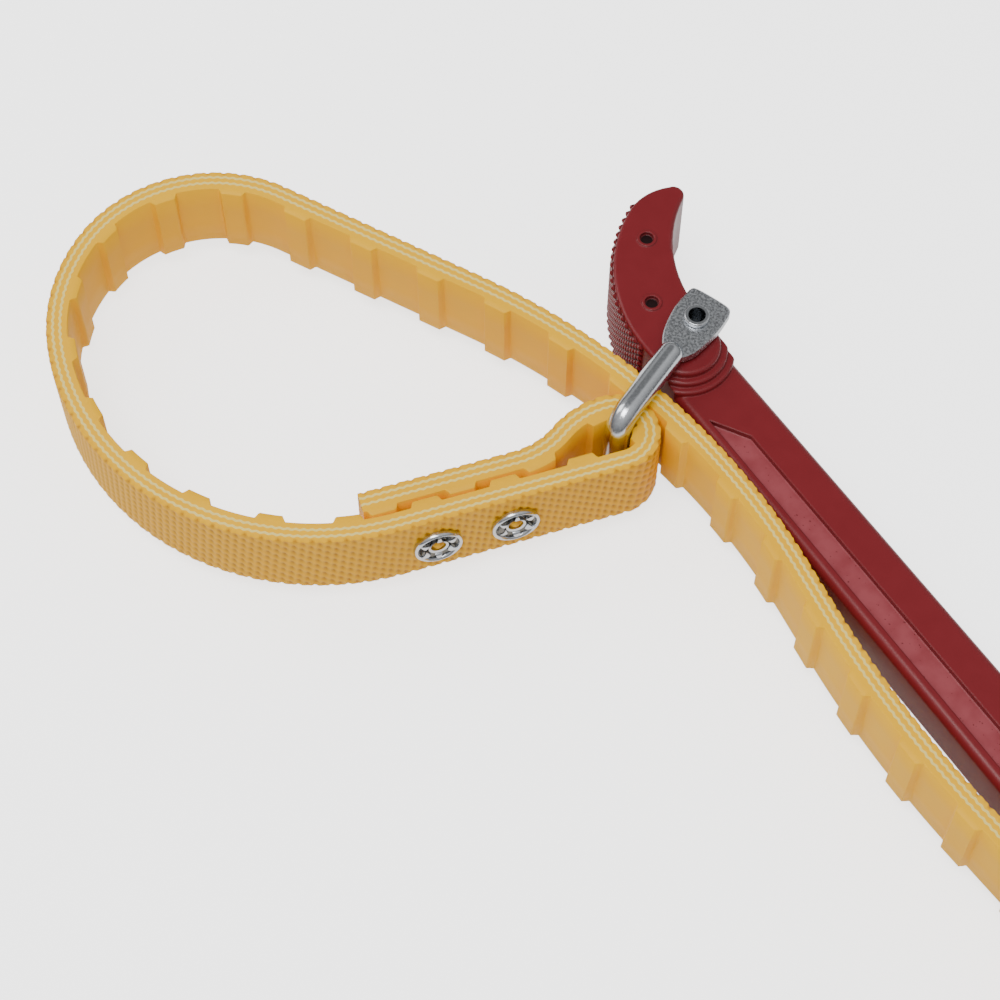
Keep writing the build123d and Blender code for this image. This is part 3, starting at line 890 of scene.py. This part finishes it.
def petal_template():
    """One curled petal of a star-split tube, bending outwards along X."""
    verts = []
    count = len(PETAL_LINE)
    for i, (far, high, half) in enumerate(PETAL_LINE):
        before, after = PETAL_LINE[max(i - 1, 0)], PETAL_LINE[min(i + 1, count - 1)]
        along = Vector((after[0] - before[0], after[1] - before[1])).normalized()
        inward = Vector((along.y, -along.x)) * PETAL_THICKNESS
        for across in (-half, -half * 0.5, half * 0.5, half):
            crown = PETAL_CROWN if abs(across) < half else 0.0
            verts.append((far, across, high + crown))
        for across in (half, -half):
            verts.append((far + inward.x, across, high + inward.y))
    ring = len(verts) // count
    petal = mesh_object("petal", verts, ring_faces(count, ring) + end_faces(count, ring))
    face_out(petal)
    return petal


def petal_tree(material):
    """Petals set in a ring, each turned and sized a little differently, then placed on the strap."""
    sockets = [("Petal", "NodeSocketObject", None), ("Count", "NodeSocketInt", 6),
               ("Seed", "NodeSocketInt", 1), ("Spread", "NodeSocketFloat", 0.2),
               ("Origin", "NodeSocketVector", (0, 0, 0)), ("Turn", "NodeSocketVector", (0, 0, 0))]
    tree, given = new_tree("eyelet_petals", sockets)
    ring = add_node(tree, "GeometryNodeMeshCircle", {"fill_type": "NONE"}, {
        "Vertices": given.outputs["Count"], "Radius": 1 * MM})
    share = add_node(tree, "ShaderNodeMath", {"operation": "DIVIDE"}, {
        0: add_node(tree, "GeometryNodeInputIndex"), 1: given.outputs["Count"]})
    wobble = add_node(tree, "FunctionNodeRandomValue", {"data_type": "FLOAT"}, {
        2: -0.12, 3: 0.12, "Seed": given.outputs["Seed"]}).outputs[1]
    turn = add_node(tree, "ShaderNodeMath", {"operation": "MULTIPLY_ADD"}, {
        0: share, 1: 2 * math.pi, 2: wobble})
    lean = add_node(tree, "FunctionNodeRandomValue", {"data_type": "FLOAT"}, {
        2: -0.10, 3: 0.05, "Seed": given.outputs["Seed"]}).outputs[1]
    angles = add_node(tree, "ShaderNodeCombineXYZ", inputs={"Y": lean, "Z": turn})
    least = add_node(tree, "ShaderNodeMath", {"operation": "SUBTRACT"}, {0: 1.0, 1: given.outputs["Spread"]})
    most = add_node(tree, "ShaderNodeMath", {"operation": "MULTIPLY_ADD"}, {
        0: given.outputs["Spread"], 1: 0.2, 2: 1.0})
    size = add_node(tree, "FunctionNodeRandomValue", {"data_type": "FLOAT"}, {
        2: least, 3: most, "Seed": given.outputs["Seed"]}).outputs[1]
    template = add_node(tree, "GeometryNodeObjectInfo", inputs={"Object": given.outputs["Petal"]})
    spread = add_node(tree, "GeometryNodeInstanceOnPoints", inputs={
        "Points": ring, "Instance": template.outputs["Geometry"], "Rotation": angles, "Scale": size})
    placed = add_node(tree, "GeometryNodeTransform", inputs={
        "Geometry": spread, "Translation": given.outputs["Origin"], "Rotation": given.outputs["Turn"]})
    finish_tree(tree, placed, material)
    return tree


def merged(name, sources, material):
    """One mesh object from several, which are removed."""
    shell = bmesh.new()
    for source in sources:
        shell.from_mesh(source.data)
    mesh = bpy.data.meshes.new(name)
    shell.to_mesh(mesh)
    shell.free()
    mesh.materials.append(material)
    smooth(mesh, ROUND_SHARP)
    for source in sources:
        bpy.data.objects.remove(source)
    return linked(name, mesh)


class STRAPWRENCH_OT_eyelets(bpy.types.Operator):
    """Makes the star-clenched eyelets and their cup washers"""
    bl_idname = "strapwrench.eyelets"
    bl_label = "Eyelets"

    def execute(self, context):
        settings = context.scene.strapwrench_metal
        zinc = material_once("bright_zinc_plate", zinc_plate, "bright_zinc_plate", settings.zinc, 0.0)
        # Painted shade: the cups' floors get a darker zinc, standing in for the shadow inside each cup.
        cup_shade = material_once("dusty_zinc_plate", zinc_plate, "dusty_zinc_plate", linear(CUP_SHADE_ZINC), 0.5)
        petal = petal_template()
        tree = petal_tree(zinc)
        for number, from_loop in enumerate(EYELETS_FROM_LOOP, 1):
            place = eyelet_place(from_loop)
            washer = joined(f"eyelet_{number}_cup", [lathe(RIM_PROFILE, place), lathe(CUP_PROFILE, place)],
                            [zinc, cup_shade], ROUND_SHARP)
            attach(washer, "strap")
            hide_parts(f"eyelet_{number}_washer")
            turn = place.to_3x3().to_euler()
            petals = grow(f"eyelet_{number}_petals", tree, {
                "Petal": petal, "Count": settings.petals, "Seed": number,
                "Origin": tuple(place.translation * MM), "Turn": tuple(turn)}, zinc)
            barrel = joined(f"eyelet_{number}_tube", [lathe(BARREL_PROFILE, place)], [zinc], ROUND_SHARP)
            eyelet = merged(f"eyelet_{number}_star", (petals, barrel), zinc)
            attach(eyelet, "strap")
            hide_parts(f"eyelet_{number}")
        bpy.data.objects.remove(petal)
        return {"FINISHED"}


# ---------------------------------------------------------------- stage
# The camera's place and the floor's half width are in millimetres, and so is the lens.
CAMERA_PLACE = (251.4, -228.6, 513.4)
CAMERA_LOOK = (-0.4109, 0.2769, -0.8686)
CAMERA_LENS = 86.4
LIGHT_TARGET = (0, -0.06, 0)
# The direction that a flat top mirrors into the lens.
FLAG_TOWARD = (CAMERA_LOOK[0], CAMERA_LOOK[1], -CAMERA_LOOK[2])
FLOOR_HALF = 3000.0


def aim(obj, direction):
    """Turns a light or camera to face a direction."""
    obj.rotation_euler = Vector(direction).to_track_quat("-Z", "Y").to_euler()


def area_light(name, place, size, power):
    """A rectangular light aimed at the object: place and size in metres, power in watts."""
    lamp = bpy.data.lights.new(name, "AREA")
    lamp.shape = "RECTANGLE"
    lamp.size, lamp.size_y = size
    lamp.energy = power
    made = linked(name, lamp)
    made.location = place
    aim(made, Vector(LIGHT_TARGET) - Vector(place))


class STRAPWRENCH_OT_stage(bpy.types.Operator):
    """Makes the floor, the soft lights and the camera"""
    bl_idname = "strapwrench.stage"
    bl_label = "Stage"

    def execute(self, context):
        settings = context.scene.strapwrench_stage
        board = painted_board(settings.floor)
        low = CAD_BOX[0][2] / MM
        corners = [(x * FLOOR_HALF, y * FLOOR_HALF, low) for x, y in ((-1, -1), (1, -1), (1, 1), (-1, 1))]
        floor = mesh_object("floor", corners, [(0, 1, 2, 3)], [board])
        world = bpy.data.worlds.new("studio")
        world.use_nodes = True
        sky = world.node_tree
        sky.nodes["Background"].inputs["Color"].default_value = (1, 1, 1, 1)
        toward = add_node(sky, "ShaderNodeTexCoord").outputs["Generated"]
        level = add_node(sky, "ShaderNodeSeparateXYZ", inputs={0: toward}).outputs["Z"]
        glow = add_node(sky, "ShaderNodeMapRange", inputs={
            "Value": level, "From Min": 0.1, "From Max": 0.8, "To Min": 0.2, "To Max": 0.75})
        # A dark flag stands where flat tops would mirror the sky into the lens.
        facing = add_node(sky, "ShaderNodeVectorMath", {"operation": "DOT_PRODUCT"}, {
            0: toward, 1: FLAG_TOWARD}).outputs["Value"]
        shade = add_node(sky, "ShaderNodeMapRange", inputs={
            "Value": facing, "From Min": 0.86, "From Max": 0.95, "To Min": 1.0, "To Max": 0.35})
        strength = add_node(sky, "ShaderNodeMath", {"operation": "MULTIPLY"}, {0: glow, 1: shade})
        sky.links.new(strength.outputs[0], sky.nodes["Background"].inputs["Strength"])
        context.scene.world = world
        area_light("top_softbox", (0.15, -0.45, 1.3), (0.8, 0.5), 12)
        area_light("left_softbox", (-0.9, -0.5, 0.8), (0.5, 0.7), 3.5)
        camera = bpy.data.cameras.new("camera")
        camera.lens = CAMERA_LENS
        camera.clip_start = 0.01
        made = linked("camera", camera)
        made.location = Vector(CAMERA_PLACE) * MM
        aim(made, CAMERA_LOOK)
        context.scene.camera = made
        return {"FINISHED"}


class STRAPWRENCH_PT_panel(bpy.types.Panel):
    """Sizes, colours and the makers of the strap wrench"""
    bl_idname = "STRAPWRENCH_PT_panel"
    bl_label = "Strap wrench"
    bl_space_type = "VIEW_3D"
    bl_region_type = "UI"
    bl_category = "Strap wrench"

    def draw(self, context):
        for group, operators in MAKERS.items():
            settings = getattr(context.scene, f"strapwrench_{group}")
            box = self.layout.box()
            for name in settings.__annotations__:
                box.prop(settings, name)
            for operator in operators:
                box.operator(operator)


MAKERS = {
    "stage": ("strapwrench.stage",),
    "handle": ("strapwrench.handle",),
    "metal": ("strapwrench.shackle", "strapwrench.eyelets"),
    "strap": ("strapwrench.strap",),
}
GROUPS = {
    "stage": StrapWrenchStage,
    "handle": StrapWrenchHandle,
    "metal": StrapWrenchMetal,
    "strap": StrapWrenchStrap,
}
CLASSES = (
    StrapWrenchStrap, StrapWrenchHandle, StrapWrenchMetal, StrapWrenchStage,
    STRAPWRENCH_OT_strap, STRAPWRENCH_OT_handle, STRAPWRENCH_OT_shackle, STRAPWRENCH_OT_eyelets,
    STRAPWRENCH_OT_stage,
    STRAPWRENCH_PT_panel,
)


def register():
    for cls in CLASSES:
        bpy.utils.register_class(cls)
    for name, group in GROUPS.items():
        setattr(bpy.types.Scene, f"strapwrench_{name}", PointerProperty(type=group))


def unregister():
    for name in GROUPS:
        delattr(bpy.types.Scene, f"strapwrench_{name}")
    for cls in reversed(CLASSES):
        bpy.utils.unregister_class(cls)


def main():
    register()
    bpy.ops.strapwrench.stage()
    bpy.ops.strapwrench.handle()
    bpy.ops.strapwrench.shackle()
    bpy.ops.strapwrench.eyelets()
    bpy.ops.strapwrench.strap()


if __name__ == "__main__":
    main()
